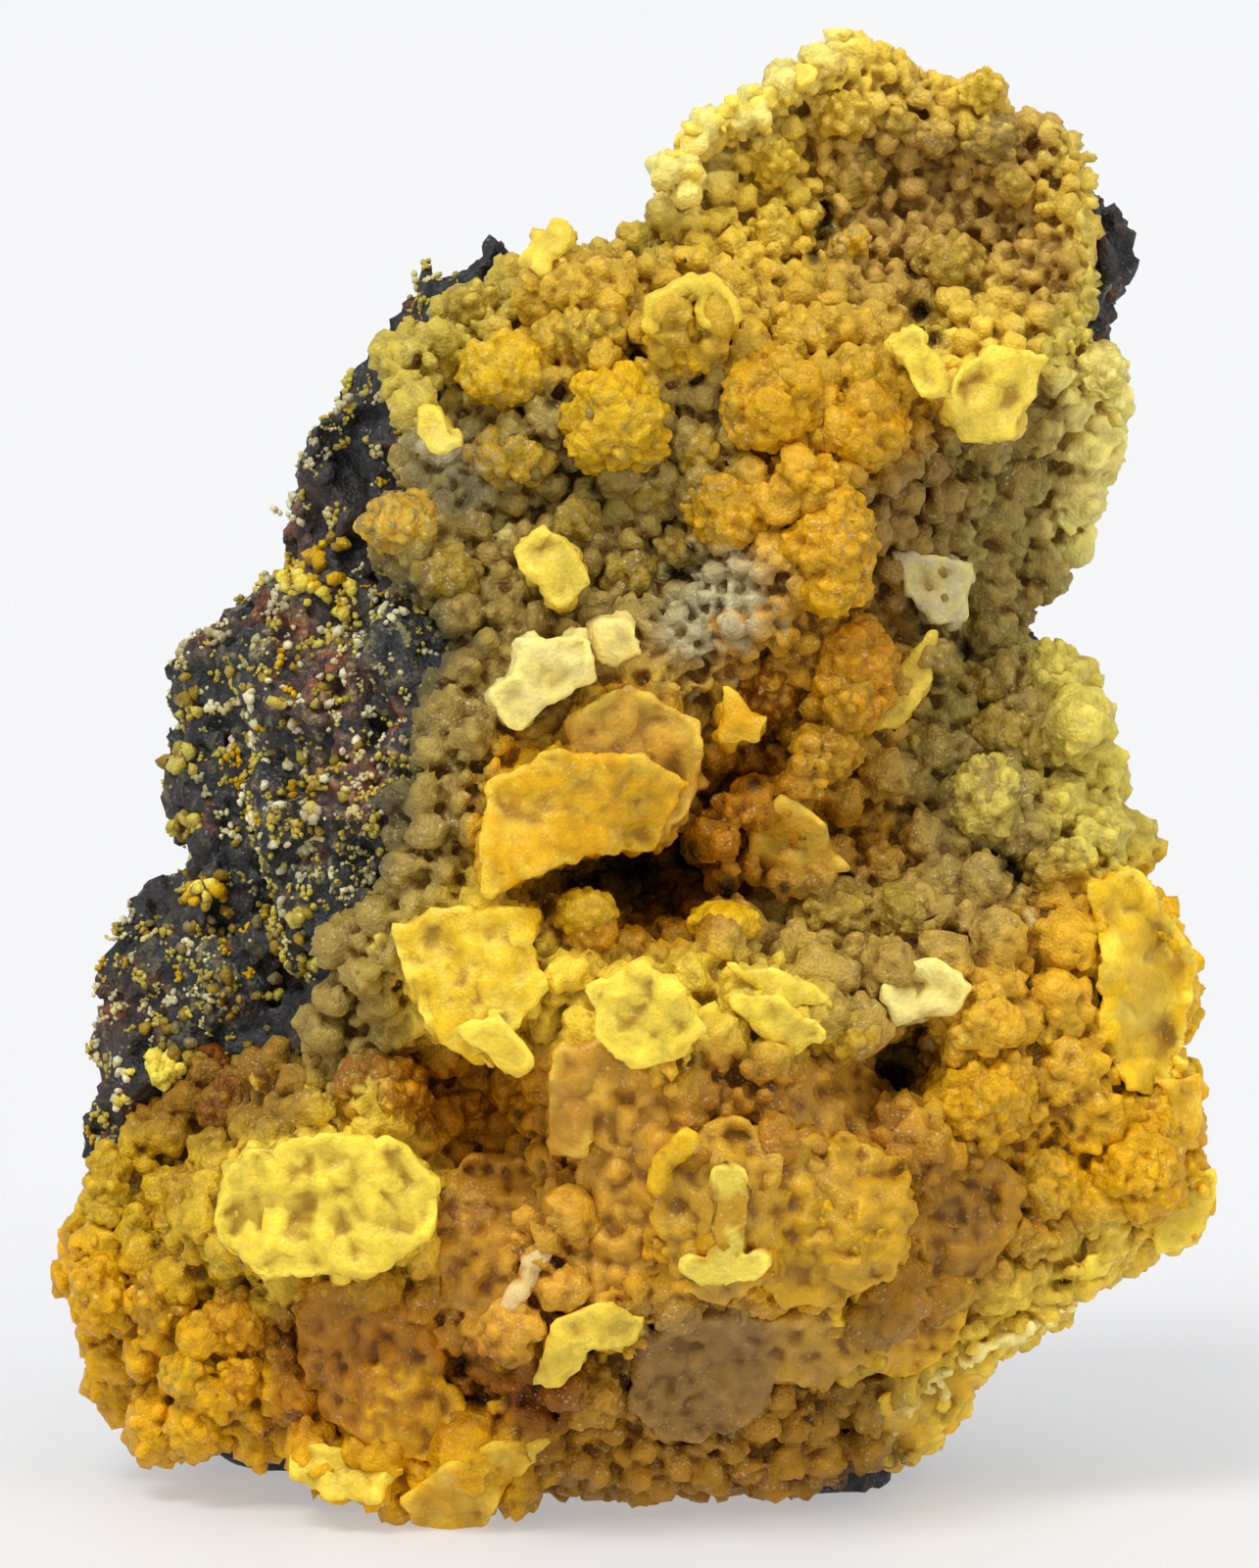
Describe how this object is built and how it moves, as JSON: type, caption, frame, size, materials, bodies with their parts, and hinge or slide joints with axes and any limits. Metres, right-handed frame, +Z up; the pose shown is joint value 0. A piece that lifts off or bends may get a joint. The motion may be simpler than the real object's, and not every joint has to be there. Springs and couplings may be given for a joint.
{
  "type": "mimetite mineral specimen",
  "caption": "Standing specimen of botryoidal yellow mimetite crust over a dark iron oxide matrix, with a flat broken foot.",
  "frame": {"origin": "on the ground under the middle of the object's bounding box", "axes": "+X to the right of the best face, +Y away from the viewer towards the rock's back, +Z up"},
  "size_m": [0.0709, 0.0526, 0.0892],
  "materials": {
    "iron_oxide_rock": "rough dark grey-black rock with rusty patches",
    "mimetite": "waxy, slightly translucent yellow to olive crystal crust with a fine sparkle"
  },
  "bodies": {
    "root": {"matrix": "iron_oxide_rock", "mimetite_crust": "mimetite"}
  },
  "joints": []
}
